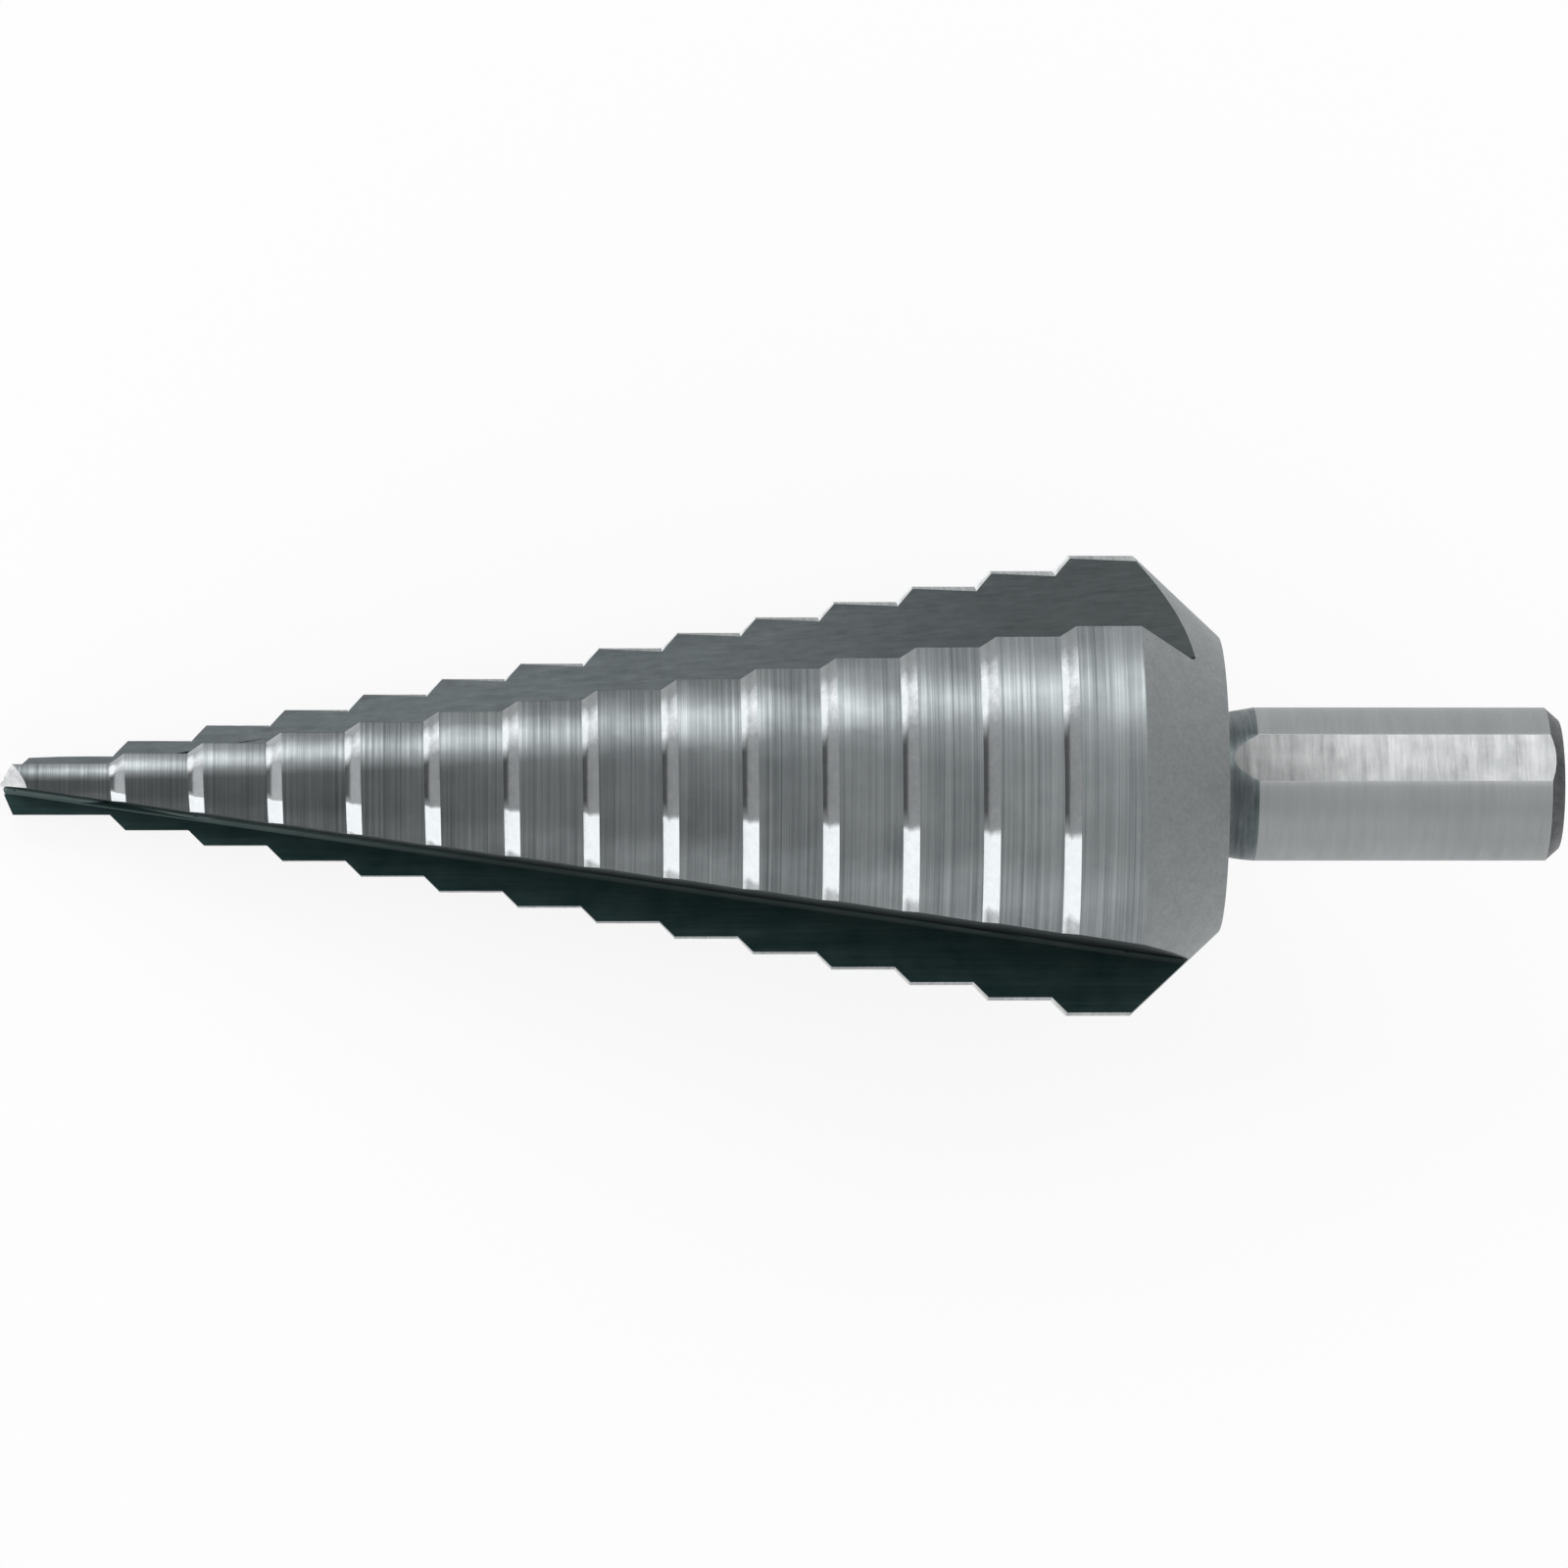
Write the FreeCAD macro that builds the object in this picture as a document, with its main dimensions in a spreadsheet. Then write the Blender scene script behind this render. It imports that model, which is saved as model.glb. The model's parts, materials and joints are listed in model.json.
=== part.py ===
"""Step drill, 4 to 30 mm in fourteen steps, ground from one bar of high-speed steel.

The drill is modelled along +X from its point, with the first land's cutting edge in the
+Z half of the XZ plane. The lands trail towards -Y, so it cuts clockwise seen from the shank.
It is then laid down on one flute, as it comes to rest on a bench.
"""
import FreeCAD
import Part
import math
import os

import Sketcher
from FreeCAD import Vector

SIZES = {
    "step_count": 14,
    "land_count": 3,
    "tip_diameter": 4.0,
    "diameter_step": 2.0,
    "first_step_length": 7.1,
    "step_pitch": 5.05,
    "last_step_length": 5.14,
    "chamfer_run": 1.0,
    "point_angle": 135.0,
    "point_relief": 0.95,
    "web_overlap": 0.35,
    "land_sweep": 93.0,
    "radial_relief": 0.25,
    "axial_relief": 0.2,
    "core_depth": 0.8,
    "flute_angle": 83.0,
    "flute_root_at_tip": 0.08,
    "flute_root_slope": 8.5,
    "flute_corner_radius": 0.4,
    "rake_trim": 1.5,
    "back_cone_length": 5.77,
    "back_face_diameter": 19.2,
    "neck_undercut": 0.38,
    "neck_length": 2.32,
    "shank_diameter": 10.0,
    "shank_length": 19.78,
    "shank_chamfer_run": 0.9,
    "shank_chamfer_depth": 0.8,
    "flat_depth": 0.26,
    "flat_angle": -21.2,
    "flat_stop": 0.3,
}
# How far the cutting volumes reach clear of the steel
CLEAR = 3.0
# How far short of the back face the lands stop, inside the steel that the cone leaves
LAND_STOP = 1.0
# The least volume, in mm3, that counts as a cut
LEAST_CUT = 1.0

os.makedirs("parts", exist_ok=True)
doc = FreeCAD.newDocument("StepDrill")


def make_sheet():
    sheet = doc.addObject("Spreadsheet::Sheet", "Sizes")
    for row, (name, value) in enumerate(SIZES.items(), start=1):
        sheet.set(f"A{row}", name)
        sheet.set(f"B{row}", str(value))
        sheet.setAlias(f"B{row}", name)
    worked_out = {
        "tip_radius": "=tip_diameter / 2",
        "rise": "=diameter_step / 2",
        "full_radius": "=tip_diameter / 2 + (step_count - 1) * diameter_step / 2",
        "steps_end": "=first_step_length + (step_count - 2) * step_pitch + last_step_length",
        "back_face_place": "=steps_end + back_cone_length",
        "shank_start": "=back_face_place + neck_length",
        "overall_length": "=shank_start + shank_length",
    }
    for row, (name, formula) in enumerate(worked_out.items(), start=len(SIZES) + 2):
        sheet.set(f"A{row}", name)
        sheet.set(f"B{row}", formula)
        sheet.setAlias(f"B{row}", name)
    doc.recompute()
    return sheet


sheet = make_sheet()
body = doc.addObject("PartDesign::Body", "StepDrill")
body.Label = "step_drill"
doc.recompute()


def origin_feature(role):
    return next(item for item in body.Origin.OriginFeatures if item.Role == role)


class Outline:
    """A closed run of straight lines and one optional arc, in a sketch on an origin plane."""

    def __init__(self, name, plane):
        self.sketch = body.newObject("Sketcher::SketchObject", name)
        self.sketch.AttachmentSupport = (origin_feature(plane), "")
        self.sketch.MapMode = "FlatFace"

    def turn(self, angle, formula, along=0):
        """Turn the sketch about the drill's axis, and slide it along that axis."""
        rotation = FreeCAD.Rotation(Vector(0, 0, 1), angle)
        self.sketch.AttachmentOffset = FreeCAD.Placement(Vector(0, 0, along), rotation)
        self.sketch.setExpression("AttachmentOffset.Rotation.Angle", formula)

    def polygon(self, points):
        count = len(points)
        for start, end in zip(points, points[1:] + points[:1]):
            line = Part.LineSegment(Vector(*start, 0), Vector(*end, 0))
            self.sketch.addGeometry(line, False)
        for index in range(count):
            self.rule("Coincident", index, 2, (index + 1) % count, 1)

    def rule(self, kind, *where):
        return self.sketch.addConstraint(Sketcher.Constraint(kind, *where))

    def level(self, *lines):
        for line in lines:
            self.rule("Horizontal", line)

    def upright(self, *lines):
        for line in lines:
            self.rule("Vertical", line)

    def bind(self, index, formula):
        self.sketch.setExpression(f"Constraints[{index}]", formula)

    def place(self, line, end, x=None, y=None):
        """Hold one end of a line at a place measured from the sketch's origin."""
        for kind, formula, value in (("DistanceX", x, 0), ("DistanceY", y, 1)):
            if formula is None:
                continue
            now = self.sketch.getPoint(line, end)[value]
            if formula == "0":
                other = -2 if kind == "DistanceX" else -1
                self.rule("PointOnObject", line, end, other)
                continue
            self.bind(self.rule(kind, -1, 1, line, end, now), formula)

    def span(self, line, dx=None, dy=None):
        """Hold how far a line runs along each axis."""
        start = self.sketch.getPoint(line, 1)
        end = self.sketch.getPoint(line, 2)
        for kind, formula, value in (("DistanceX", dx, 0), ("DistanceY", dy, 1)):
            if formula is not None:
                self.bind(self.rule(kind, line, 1, line, 2, end[value] - start[value]), formula)


def value(name):
    return float(sheet.get(name))


def radial_pattern(name, feature):
    """Repeat a feature once for each land, evenly about the drill's axis."""
    pattern = body.newObject("PartDesign::PolarPattern", name)
    pattern.Originals = [feature]
    pattern.Axis = (origin_feature("X_Axis"), [""])
    pattern.Angle = 360
    pattern.setExpression("Occurrences", "Sizes.land_count")
    body.Tip = pattern
    doc.recompute()
    return pattern


def make_core():
    """The turned blank: point, core under the steps, neck and shank."""
    depth = value("core_depth")
    front = value("tip_radius") - depth
    lip_rise = 1 / math.tan(math.radians(value("point_angle") / 2))
    back = value("back_face_place")
    shank_start = value("shank_start")
    shank_end = value("overall_length")
    shank = value("shank_diameter") / 2
    points = [
        (0, 0),
        (front * lip_rise, front),
        (value("first_step_length"), front),
        (value("steps_end"), value("full_radius") - depth),
        (back, value("full_radius") - depth),
        (back, shank - value("neck_undercut")),
        (shank_start, shank),
        (shank_end - value("shank_chamfer_run"), shank),
        (shank_end, shank - value("shank_chamfer_depth")),
        (shank_end, 0),
    ]
    outline = Outline("CoreOutline", "XZ_Plane")
    outline.polygon(points)
    outline.level(1, 3, 6, 9)
    outline.upright(4, 8)
    outline.rule("Coincident", 0, 1, -1, 1)
    outline.place(0, 2, y="Sizes.tip_radius - Sizes.core_depth")
    lip = math.radians(90 - value("point_angle") / 2)
    angle = outline.rule("Angle", -1, 1, 0, 1, math.pi / 2 - lip)
    outline.bind(angle, "Sizes.point_angle / 2 * 1 deg")
    outline.place(2, 1, x="Sizes.first_step_length")
    outline.place(3, 1, x="Sizes.steps_end", y="Sizes.full_radius - Sizes.core_depth")
    outline.place(4, 2, x="Sizes.back_face_place", y="Sizes.shank_diameter / 2 - Sizes.neck_undercut")
    outline.place(6, 1, x="Sizes.shank_start", y="Sizes.shank_diameter / 2")
    outline.span(7, dx="Sizes.shank_chamfer_run", dy="-Sizes.shank_chamfer_depth")
    outline.place(9, 1, x="Sizes.overall_length")
    core = body.newObject("PartDesign::Revolution", "Core")
    core.Profile = outline.sketch
    core.ReferenceAxis = (origin_feature("X_Axis"), [""])
    core.Angle = 360
    doc.recompute()
    return core


def make_lands():
    """The steps on one land, swept back from the cutting edge with radial and axial relief."""
    steps = int(value("step_count"))
    radius = value("tip_radius")
    rise = value("rise")
    run = value("chamfer_run")
    inner = (radius - value("core_depth")) / 2
    inner_back = (value("full_radius") - value("core_depth")) / 2
    end = value("back_face_place") - LAND_STOP
    points = [(0, inner), (0, radius)]
    for step in range(1, steps):
        start = value("first_step_length") + (step - 1) * value("step_pitch")
        points.append((start, radius + (step - 1) * rise))
        points.append((start + run, radius + step * rise))
    points += [(end, value("full_radius")), (end, inner_back)]
    outline = Outline("LandOutline", "XZ_Plane")
    outline.polygon(points)
    last = len(points) - 3
    outline.upright(0, last + 1)
    outline.place(0, 1, x="0", y="(Sizes.tip_radius - Sizes.core_depth) / 2")
    outline.place(1, 1, y="Sizes.tip_radius")
    outline.span(1, dx="Sizes.first_step_length")
    for step in range(1, steps):
        outline.level(2 * step - 1)
        outline.span(2 * step, dx="Sizes.chamfer_run", dy="Sizes.rise")
        if step > 1:
            outline.span(2 * step - 1, dx="Sizes.step_pitch - Sizes.chamfer_run")
    outline.level(last)
    outline.place(last, 2, x=f"Sizes.back_face_place - {LAND_STOP}")
    outline.place(last + 1, 2, y="(Sizes.full_radius - Sizes.core_depth) / 2")
    land = body.newObject("PartDesign::AdditiveHelix", "Land")
    land.Profile = outline.sketch
    land.ReferenceAxis = (origin_feature("X_Axis"), [""])
    land.Mode = "height-turns-growth"
    land.setExpression("Turns", "Sizes.land_sweep / 360")
    land.setExpression("Height", "Sizes.axial_relief")
    land.setExpression("Growth", "-Sizes.radial_relief * 360 / Sizes.land_sweep")
    doc.recompute()
    return radial_pattern("Lands", land)


def make_back_cone():
    """Turn the cone behind the last step, down to the flat back face."""
    full = value("full_radius")
    back = value("back_face_place")
    back_radius = value("back_face_diameter") / 2
    run_out = value("back_cone_length") / (full - back_radius)
    points = [
        (value("steps_end") - CLEAR * run_out, full + CLEAR),
        (back, back_radius),
        (back, full + CLEAR),
    ]
    outline = Outline("BackConeOutline", "XZ_Plane")
    outline.polygon(points)
    outline.upright(1)
    outline.level(2)
    outline.place(1, 1, x="Sizes.back_face_place", y="Sizes.back_face_diameter / 2")
    outline.place(2, 1, y=f"Sizes.full_radius + {CLEAR}")
    slope = "Sizes.back_cone_length / (Sizes.full_radius - Sizes.back_face_diameter / 2)"
    outline.place(0, 1, x=f"Sizes.steps_end - {CLEAR} * {slope}")
    cone = body.newObject("PartDesign::Groove", "BackCone")
    cone.Profile = outline.sketch
    cone.ReferenceAxis = (origin_feature("X_Axis"), [""])
    cone.Angle = 360
    doc.recompute()
    return cone


def make_flutes():
    """One V-shaped flute along its sloping root line: a radial rake face and the heel's wall.

    The rake face lies a little behind the start of the land, which it trims to a clean edge.
    """
    angle = math.radians(value("flute_angle"))
    root = value("flute_root_at_tip")
    corner = value("flute_corner_radius")
    reach = 2 * value("full_radius") + CLEAR
    tangent = corner / math.tan(angle / 2)
    heel = Vector(math.sin(angle), math.cos(angle), 0)
    rake_start = Vector(0, root + tangent, 0)
    heel_start = Vector(0, root, 0) + heel * tangent
    centre = Vector(corner, root + tangent, 0)
    to_root = (Vector(0, root, 0) - centre).normalize()
    heel_end = Vector(0, root, 0) + heel * reach
    far = Vector(heel_end.x, root + reach, 0)
    top = Vector(0, root + reach, 0)
    outline = Outline("FluteSection", "YZ_Plane")
    outline.turn(value("rake_trim"), "Sizes.rake_trim")
    sketch = outline.sketch
    sketch.addGeometry(Part.LineSegment(top, rake_start), False)
    sketch.addGeometry(Part.Arc(rake_start, centre + to_root * corner, heel_start), False)
    sketch.addGeometry(Part.LineSegment(heel_start, heel_end), False)
    sketch.addGeometry(Part.LineSegment(heel_end, far), False)
    sketch.addGeometry(Part.LineSegment(far, top), False)
    outline.rule("Tangent", 0, 2, 1, 1)
    outline.rule("Tangent", 1, 2, 2, 1)
    outline.rule("Coincident", 2, 2, 3, 1)
    outline.rule("Coincident", 3, 2, 4, 1)
    outline.rule("Coincident", 4, 2, 0, 1)
    outline.upright(0, 3)
    outline.level(4)
    outline.rule("PointOnObject", 0, 1, -2)
    reach_rule = outline.rule("DistanceY", -1, 1, 0, 1, top.y)
    outline.bind(reach_rule, f"Sizes.flute_root_at_tip + 2 * Sizes.full_radius + {CLEAR}")
    outline.bind(outline.rule("Radius", 1, corner), "Sizes.flute_corner_radius")
    tangent_formula = "Sizes.flute_corner_radius / tan(Sizes.flute_angle / 2 * 1 deg)"
    outline.place(0, 2, y=f"Sizes.flute_root_at_tip + {tangent_formula}")
    slant = outline.rule("Angle", 2, 1, 0, 2, angle)
    outline.bind(slant, "Sizes.flute_angle * 1 deg")
    outline.bind(
        outline.rule("DistanceX", -1, 1, 2, 2, heel_end.x),
        f"(2 * Sizes.full_radius + {CLEAR}) * sin(Sizes.flute_angle * 1 deg)",
    )
    doc.recompute()
    flute = body.newObject("PartDesign::Pocket", "Flute")
    flute.Profile = sketch
    flute.Type = "Length"
    flute.setExpression("Length", "Sizes.overall_length")
    flute.AlongSketchNormal = False
    flute.UseCustomVector = True
    flute.Direction = Vector(1, 0, math.tan(math.radians(value("flute_root_slope"))))
    flute.setExpression("Direction.z", "tan(Sizes.flute_root_slope * 1 deg)")
    doc.recompute()
    return radial_pattern("Flutes", flute)


def make_point():
    """Grind each lip of the point and its clearance, a flat that falls away behind the lip."""
    lip_rise = 1 / math.tan(math.radians(value("point_angle") / 2))
    web = value("web_overlap")
    reach = value("tip_radius") + CLEAR
    points = [
        (-web * lip_rise, -web),
        (reach * lip_rise, reach),
        (-CLEAR, reach),
        (-CLEAR, -web),
    ]
    outline = Outline("LipOutline", "XZ_Plane")
    outline.polygon(points)
    outline.level(1, 3)
    outline.upright(2)
    outline.rule("PointOnObject", -1, 1, 0)
    outline.place(0, 1, y="-Sizes.web_overlap")
    angle = outline.rule("Angle", -1, 1, 0, 1, math.radians(value("point_angle") / 2))
    outline.bind(angle, "Sizes.point_angle / 2 * 1 deg")
    outline.place(1, 1, y=f"Sizes.tip_radius + {CLEAR}")
    outline.place(2, 1, x=f"-{CLEAR}")
    lip = body.newObject("PartDesign::Pocket", "Lip")
    lip.Profile = outline.sketch
    lip.Type = "Length"
    lip.setExpression("Length", "Sizes.tip_radius * 2")
    lip.AlongSketchNormal = False
    lip.UseCustomVector = True
    lip.Direction = Vector(value("point_relief"), -1, 0)
    lip.setExpression("Direction.x", "Sizes.point_relief")
    doc.recompute()
    return radial_pattern("Lips", lip)


def make_flats():
    """Three flats on the shank for the chuck's jaws, which run out on the tapered neck."""
    half = value("shank_diameter") / 2 + CLEAR
    near = value("shank_diameter") / 2 - value("flat_depth")
    outline = Outline("FlatSection", "YZ_Plane")
    outline.polygon([(-half, near), (half, near), (half, near + half), (-half, near + half)])
    outline.level(0, 2)
    outline.upright(1, 3)
    half_formula = f"Sizes.shank_diameter / 2 + {CLEAR}"
    outline.place(0, 1, x=f"-({half_formula})", y="Sizes.shank_diameter / 2 - Sizes.flat_depth")
    outline.place(2, 1, x=half_formula)
    outline.span(1, dy=half_formula)
    outline.turn(-value("flat_angle"), "-Sizes.flat_angle", value("overall_length"))
    sketch = outline.sketch
    sketch.setExpression("AttachmentOffset.Base.z", "Sizes.overall_length")
    doc.recompute()
    flat = body.newObject("PartDesign::Pocket", "Flat")
    flat.Profile = sketch
    flat.Type = "Length"
    flat.setExpression("Length", "Sizes.shank_length + Sizes.neck_length - Sizes.flat_stop")
    doc.recompute()
    return radial_pattern("Flats", flat)


def rest_placement(shape):
    """Lay the drill on the flute ahead of the second land, point down, as it comes to rest.

    It touches the bench at the point's corner, at one step's corner and at a heel's corner.
    """
    points = [vertex.Point for vertex in shape.Vertexes]
    turn = math.radians(360 / value("land_count"))
    edge_side = Vector(0, math.sin(turn), math.cos(turn))
    corner = edge_side * value("tip_radius")
    first = min(points, key=lambda point: (point - corner).Length)
    along = [point for point in points if point.x > value("first_step_length")]
    middle = turn + math.radians(90 - value("flute_angle"))
    down = Vector(0, math.sin(middle), math.cos(middle))
    second = max(along, key=lambda point: (point - first).dot(down) / (point.x - first.x))
    edge = (second - first).normalize()
    down = (down - edge * down.dot(edge)).normalize()
    side = down.cross(edge)
    if (shape.CenterOfGravity - first).dot(side) < 0:
        side = -side

    def turn_to(point):
        reach = point - first
        return math.atan2(reach.dot(down), reach.dot(side))

    others = [point for point in points if (point - first).dot(side) > value("tip_radius")]
    third = max(others, key=turn_to)
    down_end = (third - first).cross(edge).normalize()
    if down_end.dot(down) < 0:
        down_end = -down_end
    up = -down_end
    forward = Vector(1, 0, 0)
    forward = (forward - up * forward.dot(up)).normalize()
    across = up.cross(forward)
    frame = FreeCAD.Matrix(
        forward.x, forward.y, forward.z, 0,
        across.x, across.y, across.z, 0,
        up.x, up.y, up.z, 0,
        0, 0, 0, 1,
    )
    rest = FreeCAD.Placement(frame)
    laid = shape.copy()
    laid.Placement = rest
    box = laid.optimalBoundingBox(False, False)
    rest.Base = Vector(-box.Center.x, -box.Center.y, -box.ZMin)
    return rest


def check():
    for item in doc.Objects:
        if "Invalid" in item.State or "Error" in item.State:
            raise RuntimeError(f"{item.Name} failed: {item.State}")
    shape = body.Shape
    if shape.isNull() or not shape.isValid() or len(shape.Solids) != 1:
        raise RuntimeError("the drill isn't one valid solid")


def removes(name, make):
    """A cut counts only if it takes some steel away."""
    before = body.Shape.Volume
    feature = make()
    if feature.Shape.Volume > before - LEAST_CUT:
        raise RuntimeError(f"{name} cuts nothing")
    print(f"{name}: {before - feature.Shape.Volume:.1f} mm3 removed")


def main():
    make_core()
    make_lands()
    removes("back cone", make_back_cone)
    removes("flutes", make_flutes)
    removes("lips", make_point)
    removes("flats", make_flats)
    check()
    body.Placement = rest_placement(body.Shape)
    doc.recompute()
    check()
    body.Shape.exportStep(f"parts/{body.Label}.step")
    print(f"{body.Label}: {body.Shape.Volume:.0f} mm3, {len(body.Shape.Faces)} faces")


main()
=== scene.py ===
import json
import math

import bmesh
import bpy
from mathutils import Matrix, Vector


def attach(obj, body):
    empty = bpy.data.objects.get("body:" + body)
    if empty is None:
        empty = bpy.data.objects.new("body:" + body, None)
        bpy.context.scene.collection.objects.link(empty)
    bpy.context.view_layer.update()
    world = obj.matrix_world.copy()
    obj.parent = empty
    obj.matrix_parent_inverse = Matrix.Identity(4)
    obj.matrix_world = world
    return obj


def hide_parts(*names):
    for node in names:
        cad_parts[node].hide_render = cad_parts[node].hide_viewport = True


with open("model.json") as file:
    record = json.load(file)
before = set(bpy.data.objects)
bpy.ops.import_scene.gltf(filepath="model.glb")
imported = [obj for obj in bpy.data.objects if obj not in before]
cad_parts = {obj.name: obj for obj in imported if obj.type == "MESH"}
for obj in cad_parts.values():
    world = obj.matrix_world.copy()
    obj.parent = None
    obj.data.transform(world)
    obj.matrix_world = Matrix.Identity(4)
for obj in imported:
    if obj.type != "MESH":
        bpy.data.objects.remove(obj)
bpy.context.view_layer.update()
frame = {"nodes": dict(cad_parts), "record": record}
bpy.ops.object.select_all(action="DESELECT")

# The drill's own axes: x runs along it from the point, y is the bench's, and z looks out of it

drillSizes = {
    "shankMiddle": 0.090345,  # of the chucked wall, from the point
    "pointEnd": 0.0035,
    "backFace": 0.07861,
    "shankStart": 0.08093,
    "shankRadius": 0.005,
    "flatDepth": 0.00026,
    "edgeTurn": 39.0,  # the first cutting edge, from z towards y
    "landCount": 3,
    "firstStep": 0.0071,
    "stepPitch": 0.00505,
    "rootSlope": 8.5,
    "rootReach": 0.00045,  # how far the flute's root fillet stands above its sloping root line
    "heelLean": 0.1464,  # how far the heel walls' normals lean to the point
}
shank = frame["record"]["mounts"][0]
along = Vector(shank["axis"]).normalized()
across = Vector((0, 1, 0))
outward = along.cross(across)
pointPlace = Vector(shank["pos_m"]) - along * drillSizes["shankMiddle"]
drillTurn = Matrix((along, across, outward)).transposed().to_4x4()
drillToWorld = Matrix.Translation(pointPlace) @ drillTurn
worldToDrill = drillToWorld.inverted()
tilt = math.asin(along.z)

# Camera

cameraSet = {
    "scale": 15.8,  # pixels to a millimetre at the axis
    "distance": 0.530,
    "foot": 0.0320,  # where the sight line meets the axis squarely, from the point
    "turn": 2.4,  # about the axis, from the drill's z away from its y
    "pointColumn": 1.2,
    "axisRow": 800.5,
    "frameWidth": 1600.0,
    "sensor": 36.0,
    "nearest": 0.01,
    "furthest": 20.0,
}


def addCamera(c):
    focalPixels = c["scale"] * c["distance"] * 1000
    view = drillToWorld @ Matrix.Rotation(math.radians(c["turn"]), 4, "X")
    eye = view @ Vector((c["foot"], 0, c["distance"]))
    middle = c["frameWidth"] / 2
    lookX = (middle - c["pointColumn"]) / (c["scale"] * 1000)
    lookY = (c["axisRow"] - middle) / (c["scale"] * 1000)
    back = (eye - view @ Vector((lookX, lookY, 0))).normalized()
    right = (view.to_3x3() @ across).cross(back).normalized()
    up = back.cross(right)
    data = bpy.data.cameras.new("camera")
    data.sensor_width = c["sensor"]
    data.lens = c["sensor"] * focalPixels / c["frameWidth"]
    data.clip_start, data.clip_end = c["nearest"], c["furthest"]
    camera = bpy.data.objects.new("camera", data)
    cameraTurn = Matrix((right, up, back)).transposed().to_4x4()
    camera.matrix_world = Matrix.Translation(eye) @ cameraTurn
    bpy.context.scene.collection.objects.link(camera)
    bpy.context.scene.camera = camera


addCamera(cameraSet)
print("camera placed")

# Finishes: each is ground steel, from dark to light over a grain and a cloud that share blends.
# The grain is in cycles to a metre along the drill and across it, and the bump in metres.
# Tones are pairs of a place and a level. Along runs from the point, around in degrees behind the
# cutting edge, and across from each step's foot. Around and across are multiplied into a painted
# highlight (painted reflections on the chamfers), roughened by scatter and turned into a level by
# the highlight ramp, and the higher of that and along holds. Skew turns around by so many degrees
# to a pitch, and the two shades paint a shade line that darkens where both are low.

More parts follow.
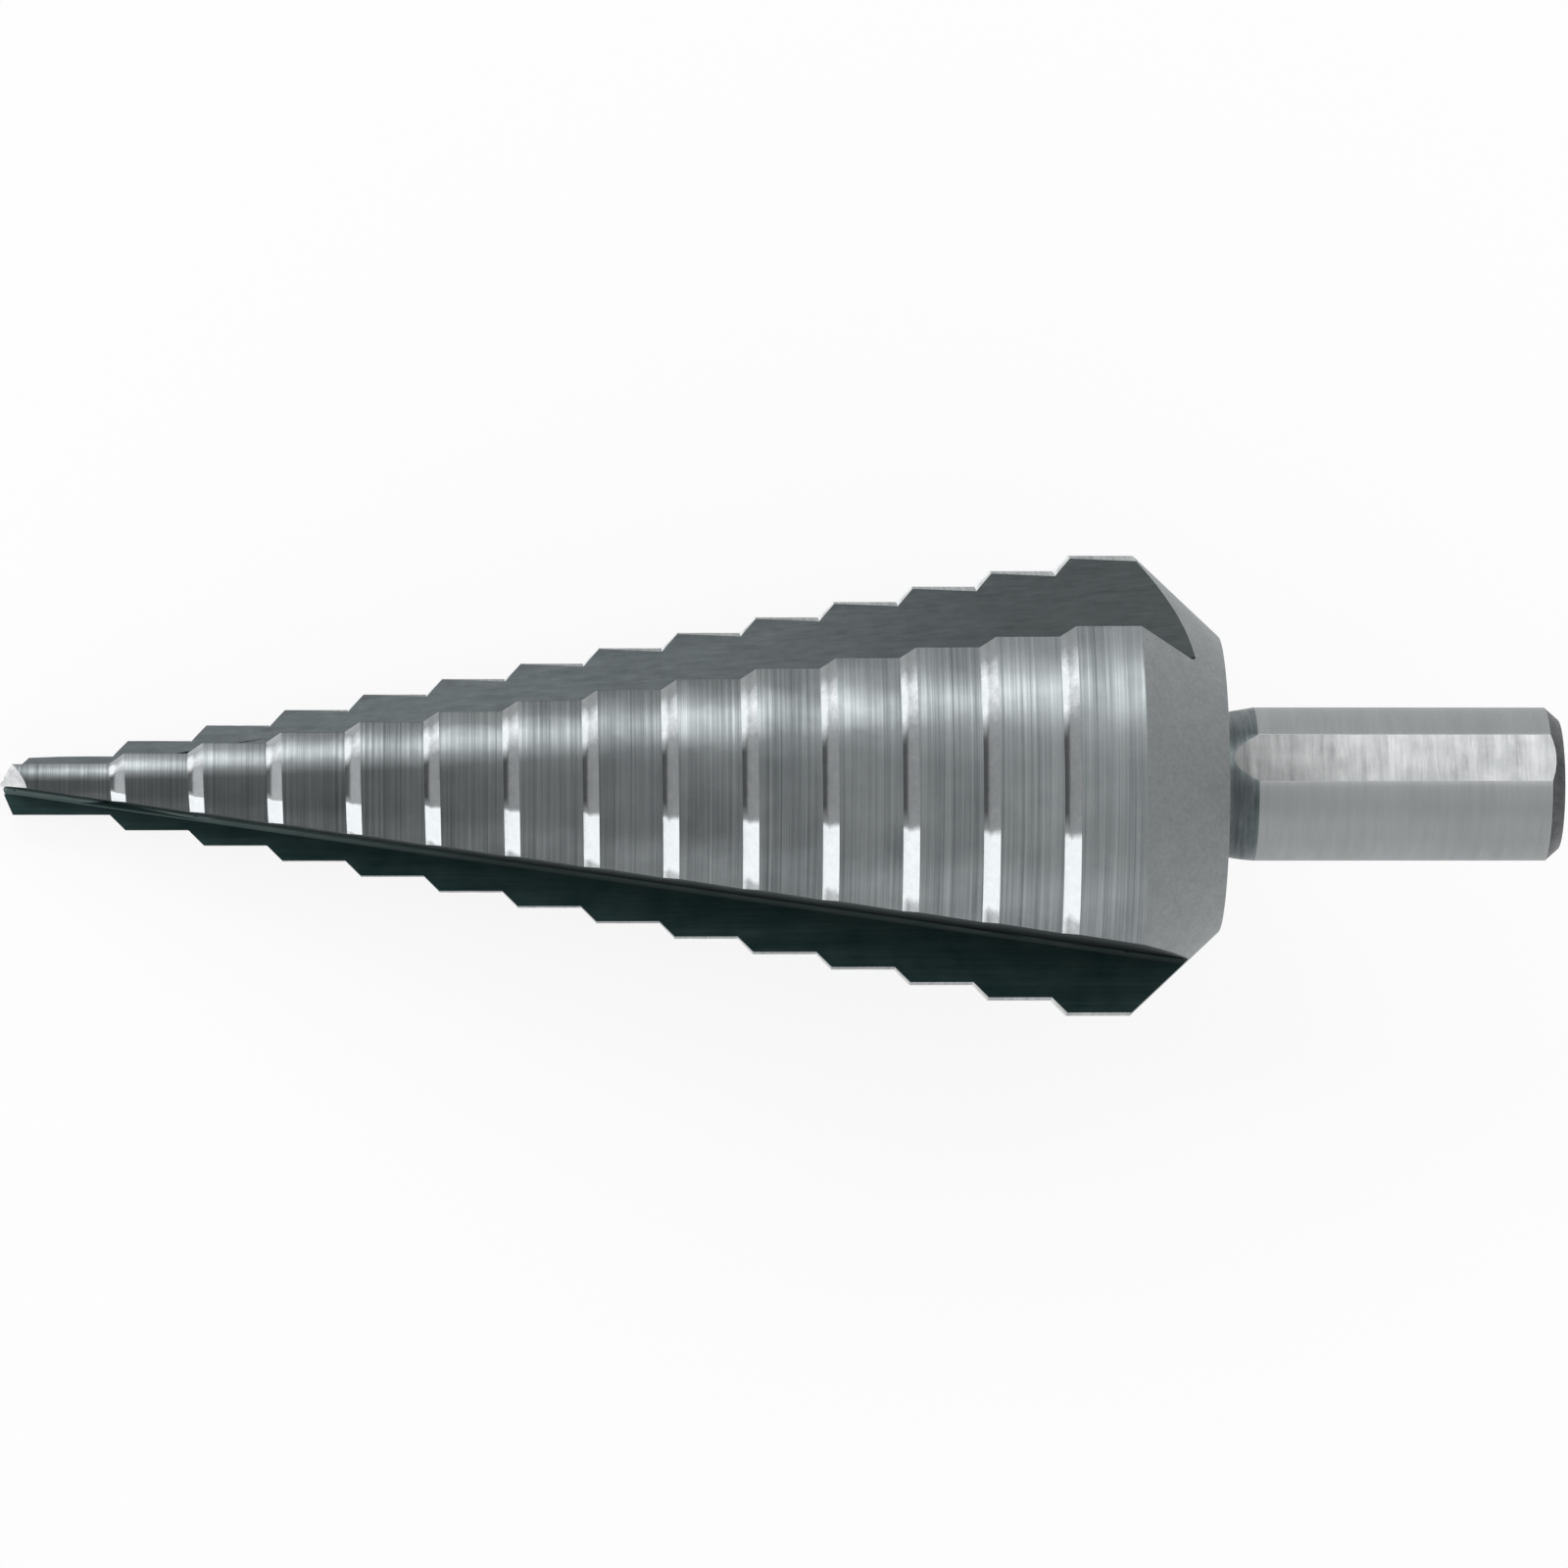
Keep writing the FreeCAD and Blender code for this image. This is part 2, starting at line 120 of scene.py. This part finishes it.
finishes = {
    "landSteelPaintedHighlight": dict(
        dark=(0.166, 0.186, 0.193), light=(0.45, 0.484, 0.495),
        grain=(4200, 22, 22), cloud=240, share=0.3, rough=(0.32, 0.44), bump=0.000004,
        along=[(0.0, 0.42), (0.008, 0.37), (0.03, 0.57), (0.05, 0.82), (0.073, 1.1)],
        # painted highlight: a bright band just behind each cutting edge, brightest next to the
        # step's foot
        highlightAround=[(0, 0.5), (7, 0.6), (12, 0.85), (16, 1.0), (22, 0.85), (28, 0.45), (35, 0)],
        across=[(0.0, 1.0), (0.0015, 1.0), (0.0024, 0.85), (0.00505, 0.75)],
        highlightRamp=[(0, 0.4), (0.7, 1.5)], scatter=0.3),
    "chamferSteelPaintedLight": dict(
        dark=(0.845, 0.905, 0.935), light=(0.955, 0.985, 1.0),
        grain=(5000, 3000, 3000), cloud=1500, share=0.5, rough=(0.14, 0.22), bump=0.000002,
        # painted reflections: lighter towards the point, a white spot just behind the cutting
        # edge and a white block further back, grey between
        along=[(0.0, 0.48), (0.012, 0.56), (0.018, 0.55), (0.024, 0.46), (0.034, 0.2),
               (0.1, 0.18)],
        highlightAround=[(0, 0.5), (5, 0.59), (9, 0.72), (15, 0.87), (22, 0.75), (31, 0.5),
                (44, 0.46), (54, 0.52), (59, 1.25), (73, 1.25), (80, 0.73), (90, 0.67),
                (98, 0.5)],
        across=[(0, 1.0), (0.00025, 1.0), (0.0005, 0.82), (0.0008, 0.87), (0.0012, 0.87)],
        highlightRamp=[(0.12, 0.18), (0.34, 0.43), (0.47, 1.25)], scatter=0.1, skew=7.5,
        # painted shade: a dark line along each chamfer's foot
        shadeAround=[(22, 1.25), (30, 0.3), (49, 0.3), (55, 1.25)],
        shadeAcross=[(0, 0.3), (0.0003, 0.35), (0.00048, 1.25)]),
    "rakeSteel": dict(
        dark=(0.011, 0.027, 0.027), light=(0.034, 0.059, 0.057),
        grain=(60, 1500, 1500), cloud=500, share=0.4, rough=(0.4, 0.5), bump=0.000002),
    "rootSteel": dict(
        dark=(0.17, 0.25, 0.245), light=(0.24, 0.32, 0.31),
        grain=(60, 1500, 1500), cloud=500, share=0.4, rough=(0.4, 0.5), bump=0.000002,
        along=[(0.0, 0.6), (0.01, 0.6), (0.02, 0.42), (0.032, 0.2), (0.08, 0.16)]),
    "heelSteel": dict(
        dark=(0.12, 0.138, 0.143), light=(0.173, 0.196, 0.201),
        grain=(40, 2600, 2600), cloud=1200, share=0.25, rough=(0.4, 0.5), bump=0.000002,
        along=[(0.0, 1.2), (0.03, 1.2), (0.05, 0.95), (0.065, 0.64), (0.08, 0.6)]),
    "coneSteel": dict(
        dark=(0.25, 0.268, 0.274), light=(0.31, 0.33, 0.336),
        grain=(3000, 3000, 3000), cloud=900, share=0.3, rough=(0.48, 0.56), bump=0.000002),
    "neckSteel": dict(
        dark=(0.068, 0.086, 0.09), light=(0.24, 0.268, 0.274),
        grain=(1800, 120, 120), cloud=400, share=0.35, rough=(0.38, 0.5), bump=0.000004),
    "shankSteel": dict(
        dark=(0.32, 0.334, 0.34), light=(0.375, 0.39, 0.396),
        grain=(1400, 120, 120), cloud=150, share=0.4, rough=(0.46, 0.54), bump=0.000002),
    "flatSteel": dict(
        dark=(0.4, 0.412, 0.416), light=(0.69, 0.702, 0.706),
        grain=(2200, 170, 170), cloud=520, share=0.4, rough=(0.42, 0.52), bump=0.000004,
        along=[(0.080, 0.58), (0.083, 0.66), (0.088, 1.0), (0.1, 1.0)]),
    "pointSteel": dict(
        dark=(0.5, 0.52, 0.53), light=(0.95, 0.95, 0.95),
        grain=(900, 900, 900), cloud=500, share=0.35, rough=(0.28, 0.36), bump=0.000002),
    "endSteel": dict(
        dark=(0.07, 0.077, 0.08), light=(0.15, 0.155, 0.157),
        grain=(1500, 1500, 1500), cloud=300, share=0.35, rough=(0.42, 0.52), bump=0.000003),
}
grinding = {
    "alongReach": 0.101,  # the length that the tones along the drill cover
    "rampLevel": 0.8,  # what a ramp holds for a level of 1, so a level of 1.25 fills it
    "grainDetail": 5.0,
    "grainCoarseness": 0.75,
    "cloudDetail": 4.0,
    "cloudCoarseness": 0.5,
    "toneRange": (0.34, 0.66),  # the part of the blend that runs from dark to light
    "glossRange": (0.3, 0.7),  # the part that runs from rough to smooth, and over the scatter
    "bumpStrength": 0.5,
}


def makeFinish(name, f, g):
    material = bpy.data.materials.new(name)
    material.use_nodes = True
    tree = material.node_tree
    shader = tree.nodes["Principled BSDF"]
    shader.inputs["Metallic"].default_value = 1.0

    def node(kind, *sources, **settings):
        made = tree.nodes.new(kind)
        for key, value in settings.items():
            setattr(made, key, value)
        for slot, source in enumerate(sources):
            if hasattr(source, "is_output"):
                tree.links.new(source, made.inputs[slot])
            elif source is not None:
                made.inputs[slot].default_value = source
        return made

    def reckon(kind, *sources):
        return node("ShaderNodeMath", *sources, operation=kind).outputs[0]

    def noise(vector, scale, detail, coarseness):
        made = node("ShaderNodeTexNoise", vector)
        made.inputs["Scale"].default_value = scale
        made.inputs["Detail"].default_value = detail
        made.inputs["Roughness"].default_value = coarseness
        return made.outputs["Fac"]

    def ramp(factor, stops):
        made = node("ShaderNodeValToRGB", factor)
        points = made.color_ramp.elements
        while len(points) < len(stops):
            points.new(0.5)
        for point, (place, colour) in zip(points, stops):
            point.position = place
            point.color = (*colour, 1)
        return made.outputs["Color"]

    def levels(factor, stops, reach):
        return ramp(factor, [(at / reach, (level * g["rampLevel"],) * 3) for at, level in stops])

    def mixed(kind, first, second):
        mix = node("ShaderNodeMix", data_type="RGBA", blend_type=kind)
        mix.inputs[0].default_value = 1.0
        tree.links.new(first, mix.inputs[6])
        tree.links.new(second, mix.inputs[7])
        return mix.outputs[2]

    place = node("ShaderNodeTexCoord").outputs["Object"]
    onAxes = node("ShaderNodeMapping", place, tuple(pointPlace), (0, -tilt, 0),
                  vector_type="TEXTURE").outputs[0]
    stretched = node("ShaderNodeMapping", onAxes, None, None, f["grain"]).outputs[0]
    grain = noise(stretched, 1.0, g["grainDetail"], g["grainCoarseness"])
    cloud = noise(onAxes, f["cloud"], g["cloudDetail"], g["cloudCoarseness"])
    blend = node("ShaderNodeMix", f["share"])
    tree.links.new(grain, blend.inputs["A"])
    tree.links.new(cloud, blend.inputs["B"])
    blend = blend.outputs["Result"]
    colour = ramp(blend, list(zip(g["toneRange"], (f["dark"], f["light"]))))
    axes = node("ShaderNodeSeparateXYZ", onAxes).outputs
    toneAndHighlightLevels = []
    if "along" in f:
        portion = reckon("DIVIDE", axes[0], g["alongReach"])
        toneAndHighlightLevels.append(levels(portion, f["along"], g["alongReach"]))
    # painted highlight on the lands and painted reflections on the chamfers: levels by the angle
    # behind the cutting edge and by the place across each step, multiplied
    if "highlightAround" in f:
        period = 360 / drillSizes["landCount"]
        turn = reckon("ARCTAN2", axes[1], axes[2])
        behind = reckon("MULTIPLY_ADD", turn, -math.degrees(1) / period,
                        drillSizes["edgeTurn"] / period)
        behind = reckon("FRACT", behind)
        pitch = drillSizes["stepPitch"]
        past = reckon("MULTIPLY_ADD", axes[0], 1 / pitch, 1 - drillSizes["firstStep"] / pitch)
        past = reckon("FRACT", past)
        behind = reckon("MULTIPLY_ADD", past, f.get("skew", 0) / period, behind)
        paintedHighlight = mixed("MULTIPLY", levels(behind, f["highlightAround"], period),
                     levels(past, f["across"], pitch))
        scattered = ((1 - f["scatter"],) * 3, (1, 1, 1))
        paintedHighlight = mixed("MULTIPLY", paintedHighlight, ramp(blend, list(zip(g["glossRange"], scattered))))
        toneAndHighlightLevels.append(levels(paintedHighlight, f["highlightRamp"], 1.0))
        # painted shade: a dark line along each chamfer's foot, where the shade levels around and
        # across are both low
        if "shadeAround" in f:
            shade = mixed("LIGHTEN", levels(behind, f["shadeAround"], period),
                          levels(past, f["shadeAcross"], pitch))
            colour = mixed("MULTIPLY", colour, shade)
    if toneAndHighlightLevels:
        level = mixed("LIGHTEN", *toneAndHighlightLevels) if len(toneAndHighlightLevels) == 2 else toneAndHighlightLevels[0]
        colour = mixed("MULTIPLY", colour, level)
    tree.links.new(colour, shader.inputs["Base Color"])
    smoothest, roughest = f["rough"]
    gloss = node("ShaderNodeMapRange", blend, *g["glossRange"], roughest, smoothest)
    tree.links.new(gloss.outputs["Result"], shader.inputs["Roughness"])
    bump = node("ShaderNodeBump")
    bump.inputs["Strength"].default_value = g["bumpStrength"]
    bump.inputs["Distance"].default_value = f["bump"]
    tree.links.new(grain, bump.inputs["Height"])
    tree.links.new(bump.outputs["Normal"], shader.inputs["Normal"])


for finishName, finishValues in finishes.items():
    makeFinish(finishName, finishValues, grinding)
print("finishes made")

# The drill: its faces get their finishes by place and normal, then its edges are rounded

drillFinish = {
    "mergeWithin": 1e-7,
    "edgeWidth": 0.00004,
    "edgeSegments": 2,
    "edgeAngle": 24.0,
    "pastBackFace": 0.0001,
    "steepLean": 0.3,  # the least lean along the drill of a normal on a chamfer or an end
    "shankLean": 0.01,  # the most of one on the shank's wall and flats
    "heelWithin": 0.003,  # of the heel walls' lean
    "landOutwards": 0.9,  # how squarely a land faces away from the axis, at least
    "rootLean": -0.004,  # the flute's root leans more to the point than this, and its rake less
}


def finishOf(face, d):
    at = worldToDrill @ face.calc_center_median()
    facing = worldToDrill.to_3x3() @ face.normal
    planeReach = facing.y * at.y + facing.z * at.z  # how far the face's plane lies from the axis
    reach = math.hypot(at.y, at.z)
    rootLine = at.x * math.tan(math.radians(drillSizes["rootSlope"]))
    if at.x > drillSizes["backFace"] + d["pastBackFace"]:
        if facing.x > d["steepLean"]:
            return "endSteel"
        flatReach = drillSizes["shankRadius"] - drillSizes["flatDepth"] / 2
        if abs(facing.x) < d["shankLean"] and planeReach < flatReach:
            return "flatSteel"
        return "neckSteel" if at.x < drillSizes["shankStart"] else "shankSteel"
    if facing.x > d["steepLean"]:
        return "coneSteel"
    if facing.x < -d["steepLean"]:
        return "pointSteel" if at.x < drillSizes["pointEnd"] else "chamferSteelPaintedLight"
    if abs(facing.x + drillSizes["heelLean"]) < d["heelWithin"]:
        return "heelSteel"
    if planeReach > d["landOutwards"] * reach and reach - rootLine > drillSizes["rootReach"]:
        return "landSteelPaintedHighlight"
    return "rootSteel" if facing.x < d["rootLean"] else "rakeSteel"


def buildDrill(d):
    node = frame["nodes"]["step_drill"]
    drill = node.copy()
    drill.data = node.data.copy()
    drill.name = "stepDrillGround"
    bpy.context.scene.collection.objects.link(drill)
    order = list(finishes)
    drill.data.materials.clear()
    for name in order:
        drill.data.materials.append(bpy.data.materials[name])
    bpy.ops.object.select_all(action="DESELECT")
    drill.select_set(True)
    bpy.context.view_layer.objects.active = drill
    bpy.ops.mesh.customdata_custom_splitnormals_clear()
    bpy.ops.object.mode_set(mode="EDIT")
    bpy.ops.mesh.select_all(action="SELECT")
    bpy.ops.mesh.remove_doubles(threshold=d["mergeWithin"])
    bpy.ops.object.mode_set(mode="OBJECT")
    shape = bmesh.new()
    shape.from_mesh(drill.data)
    counts = dict.fromkeys(order, 0)
    for face in shape.faces:
        name = finishOf(face, d)
        counts[name] += 1
        face.material_index = order.index(name)
        face.smooth = True
    shape.to_mesh(drill.data)
    shape.free()
    print("faces by finish", counts)
    bpy.ops.object.modifier_add(type="BEVEL")
    bevel = drill.modifiers[-1]
    bevel.width = d["edgeWidth"]
    bevel.segments = d["edgeSegments"]
    bevel.limit_method = "ANGLE"
    bevel.angle_limit = math.radians(d["edgeAngle"])
    bevel.miter_outer = "MITER_ARC"
    bpy.ops.object.modifier_apply(modifier=bevel.name)
    bpy.ops.object.modifier_add(type="WEIGHTED_NORMAL")
    bpy.ops.object.modifier_apply(modifier=drill.modifiers[-1].name)
    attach(drill, "root")
    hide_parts("step_drill")


buildDrill(drillFinish)
print("drill finished")

# Floor, backdrop and light

studio = {
    "floorSize": 6.0,
    "floorColour": (0.93, 0.93, 0.93),
    "floorRoughness": 0.9,
    "floorSpecular": 0.1,
    "floorWhite": 0.85,  # the share of the floor that the camera and the steel see as plain white
    "worldColour": (1, 1, 1),
    "worldLevel": 0.62,
    "lampAim": 0.05,  # what the lamps face, from the point
}
lamps = {
    "keyLamp": dict(angle=46, lean=0, distance=0.9, size=(1.4, 0.4), power=3.6),
    "fillLamp": dict(angle=-66, lean=0, distance=1.0, size=(1.4, 0.5), power=0.9),
    "topLamp": dict(angle=-8, lean=24, distance=1.2, size=(0.7, 0.7), power=1.2),
    "pointLamp": dict(angle=0, lean=-68, distance=1.0, size=(0.7, 0.5), power=1.5),
}


def addFloor(s):
    bpy.ops.mesh.primitive_plane_add(size=s["floorSize"], location=(0, 0, 0))
    floor = bpy.context.object
    floor.name = "floor"
    material = bpy.data.materials.new("floorWhite")
    material.use_nodes = True
    tree = material.node_tree
    shader = tree.nodes["Principled BSDF"]
    shader.inputs["Base Color"].default_value = (*s["floorColour"], 1)
    shader.inputs["Roughness"].default_value = s["floorRoughness"]
    shader.inputs["Specular IOR Level"].default_value = s["floorSpecular"]
    white = tree.nodes.new("ShaderNodeEmission")
    path = tree.nodes.new("ShaderNodeLightPath")
    seen = path.outputs["Is Camera Ray"]
    for ray in ("Is Glossy Ray", "Is Transmission Ray"):
        either = tree.nodes.new("ShaderNodeMath")
        either.operation = "MAXIMUM"
        tree.links.new(seen, either.inputs[0])
        tree.links.new(path.outputs[ray], either.inputs[1])
        seen = either.outputs[0]
    portion = tree.nodes.new("ShaderNodeMath")
    portion.operation = "MULTIPLY"
    portion.inputs[1].default_value = s["floorWhite"]
    tree.links.new(seen, portion.inputs[0])
    mix = tree.nodes.new("ShaderNodeMixShader")
    tree.links.new(portion.outputs[0], mix.inputs[0])
    tree.links.new(shader.outputs[0], mix.inputs[1])
    tree.links.new(white.outputs[0], mix.inputs[2])
    tree.links.new(mix.outputs[0], tree.nodes["Material Output"].inputs["Surface"])
    floor.data.materials.append(material)


def addLamp(name, l, aim):
    data = bpy.data.lights.new(name, "AREA")
    data.shape = "RECTANGLE"
    data.size, data.size_y = l["size"]
    data.energy = l["power"]
    lamp = bpy.data.objects.new(name, data)
    angle, lean = math.radians(l["angle"]), math.radians(l["lean"])
    direction = Vector((math.sin(lean), math.sin(angle) * math.cos(lean),
                        math.cos(angle) * math.cos(lean)))
    lamp.location = aim + direction * l["distance"]
    lamp.rotation_mode = "QUATERNION"
    lamp.rotation_quaternion = direction.to_track_quat("Z", "Y")
    bpy.context.scene.collection.objects.link(lamp)


def addWorld(s):
    world = bpy.data.worlds.new("studioWorld")
    world.use_nodes = True
    background = world.node_tree.nodes["Background"]
    background.inputs["Color"].default_value = (*s["worldColour"], 1)
    background.inputs["Strength"].default_value = s["worldLevel"]
    bpy.context.scene.world = world


addFloor(studio)
for lampName, lampValues in lamps.items():
    addLamp(lampName, lampValues, drillToWorld @ Vector((studio["lampAim"], 0, 0)))
addWorld(studio)
bpy.context.scene.view_settings.view_transform = "Standard"
print("studio set")
